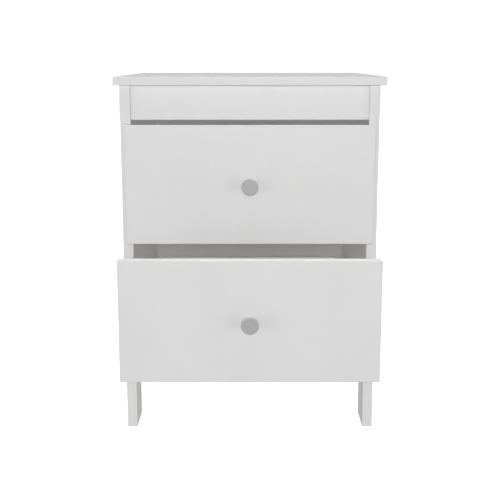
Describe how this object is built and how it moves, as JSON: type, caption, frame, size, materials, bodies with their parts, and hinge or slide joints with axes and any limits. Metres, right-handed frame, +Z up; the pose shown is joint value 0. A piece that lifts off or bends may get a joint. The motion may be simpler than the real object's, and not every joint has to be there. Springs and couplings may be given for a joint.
{
  "type": "nightstand",
  "caption": "White board nightstand on integral legs, with overlay drawer fronts, round knobs and roller slides, one drawer stored part open.",
  "frame": {"origin": "on the floor, at the centre of the overall footprint as stored, with the upper drawer shut and the lower one 104 mm open", "axes": "+X to the right as seen from the front, -Y out of the drawer fronts, +Z up"},
  "size_m": [0.39, 0.532, 0.529],
  "materials": {
    "melamine": "white melamine-faced board, fine satin texture",
    "hardboard": "hardboard, white lacquer on the face that shows, bare brown on the other",
    "coated_steel": "white epoxy coating, semi-gloss",
    "fastener_steel": "bright zinc plated",
    "zinc": "die-cast zinc, dull",
    "nylon": "moulded nylon",
    "beech": "raw fluted beech",
    "knob": "silver-grey satin lacquer"
  },
  "bodies": {
    "carcass": {"top_panel": "melamine", "left_side_panel": "melamine", "right_side_panel": "melamine", "bottom_panel": "melamine", "front_apron": "melamine", "back_panel": "hardboard", "case_cam_locks": "zinc", "case_cam_bolts": "fastener_steel", "case_dowels": "beech", "back_panel_screws": "fastener_steel", "upper_left_case_rail": "coated_steel", "upper_right_case_rail": "coated_steel", "lower_left_case_rail": "coated_steel", "lower_right_case_rail": "coated_steel", "case_rail_screws": "fastener_steel", "front_roller_axles": "fastener_steel"},
    "upper_drawer": {"upper_drawer_front": "melamine", "upper_drawer_left_side": "melamine", "upper_drawer_right_side": "melamine", "upper_drawer_back": "melamine", "upper_drawer_bottom": "hardboard", "upper_drawer_left_rail": "coated_steel", "upper_drawer_right_rail": "coated_steel", "upper_roller_axles": "fastener_steel", "upper_rail_screws": "fastener_steel", "upper_corner_screws": "fastener_steel", "upper_bottom_screws": "fastener_steel", "upper_cam_locks": "zinc", "upper_cam_bolts": "fastener_steel", "upper_dowels": "beech", "upper_knob": "knob", "upper_knob_screw": "fastener_steel"},
    "lower_drawer": {"lower_drawer_front": "melamine", "lower_drawer_left_side": "melamine", "lower_drawer_right_side": "melamine", "lower_drawer_back": "melamine", "lower_drawer_bottom": "hardboard", "lower_drawer_left_rail": "coated_steel", "lower_drawer_right_rail": "coated_steel", "lower_roller_axles": "fastener_steel", "lower_rail_screws": "fastener_steel", "lower_corner_screws": "fastener_steel", "lower_bottom_screws": "fastener_steel", "lower_cam_locks": "zinc", "lower_cam_bolts": "fastener_steel", "lower_dowels": "beech", "lower_knob": "knob", "lower_knob_screw": "fastener_steel"},
    "lower_left_front_roller": {"lower_left_front_roller": "nylon"},
    "lower_left_rear_roller": {"lower_left_rear_roller": "nylon"},
    "lower_right_front_roller": {"lower_right_front_roller": "nylon"},
    "lower_right_rear_roller": {"lower_right_rear_roller": "nylon"},
    "upper_left_front_roller": {"upper_left_front_roller": "nylon"},
    "upper_left_rear_roller": {"upper_left_rear_roller": "nylon"},
    "upper_right_front_roller": {"upper_right_front_roller": "nylon"},
    "upper_right_rear_roller": {"upper_right_rear_roller": "nylon"}
  },
  "joints": [
    {"name": "upper_drawer_slide", "type": "slide", "parent": "carcass", "child": "upper_drawer", "axis": [0, -1, 0], "range_m": [0, 0.262]},
    {"name": "lower_drawer_slide", "type": "slide", "parent": "carcass", "child": "lower_drawer", "axis": [0, -1, 0], "range_m": [-0.104, 0.158]},
    {"name": "upper_left_front_roller_turn", "type": "hinge", "parent": "carcass", "child": "upper_left_front_roller", "pos_m": [-0.1666, -0.112, 0.321], "axis": [1, 0, 0], "continuous": true},
    {"name": "upper_left_rear_roller_turn", "type": "hinge", "parent": "upper_drawer", "child": "upper_left_rear_roller", "pos_m": [-0.1649, 0.211, 0.3207], "axis": [1, 0, 0], "continuous": true},
    {"name": "upper_right_front_roller_turn", "type": "hinge", "parent": "carcass", "child": "upper_right_front_roller", "pos_m": [0.1666, -0.112, 0.321], "axis": [1, 0, 0], "continuous": true},
    {"name": "upper_right_rear_roller_turn", "type": "hinge", "parent": "upper_drawer", "child": "upper_right_rear_roller", "pos_m": [0.1649, 0.211, 0.3207], "axis": [1, 0, 0], "continuous": true},
    {"name": "lower_left_front_roller_turn", "type": "hinge", "parent": "carcass", "child": "lower_left_front_roller", "pos_m": [-0.1666, -0.112, 0.1465], "axis": [1, 0, 0], "continuous": true},
    {"name": "lower_left_rear_roller_turn", "type": "hinge", "parent": "lower_drawer", "child": "lower_left_rear_roller", "pos_m": [-0.1649, 0.107, 0.1462], "axis": [1, 0, 0], "continuous": true},
    {"name": "lower_right_front_roller_turn", "type": "hinge", "parent": "carcass", "child": "lower_right_front_roller", "pos_m": [0.1666, -0.112, 0.1465], "axis": [1, 0, 0], "continuous": true},
    {"name": "lower_right_rear_roller_turn", "type": "hinge", "parent": "lower_drawer", "child": "lower_right_rear_roller", "pos_m": [0.1649, 0.107, 0.1462], "axis": [1, 0, 0], "continuous": true}
  ],
  "couplings": [
    {"joint": "upper_left_front_roller_turn", "follows": "upper_drawer_slide", "rad_per_m": 100},
    {"joint": "upper_left_rear_roller_turn", "follows": "upper_drawer_slide", "rad_per_m": 100},
    {"joint": "upper_right_front_roller_turn", "follows": "upper_drawer_slide", "rad_per_m": 100},
    {"joint": "upper_right_rear_roller_turn", "follows": "upper_drawer_slide", "rad_per_m": 100},
    {"joint": "lower_left_front_roller_turn", "follows": "lower_drawer_slide", "rad_per_m": 100},
    {"joint": "lower_left_rear_roller_turn", "follows": "lower_drawer_slide", "rad_per_m": 100},
    {"joint": "lower_right_front_roller_turn", "follows": "lower_drawer_slide", "rad_per_m": 100},
    {"joint": "lower_right_rear_roller_turn", "follows": "lower_drawer_slide", "rad_per_m": 100}
  ]
}
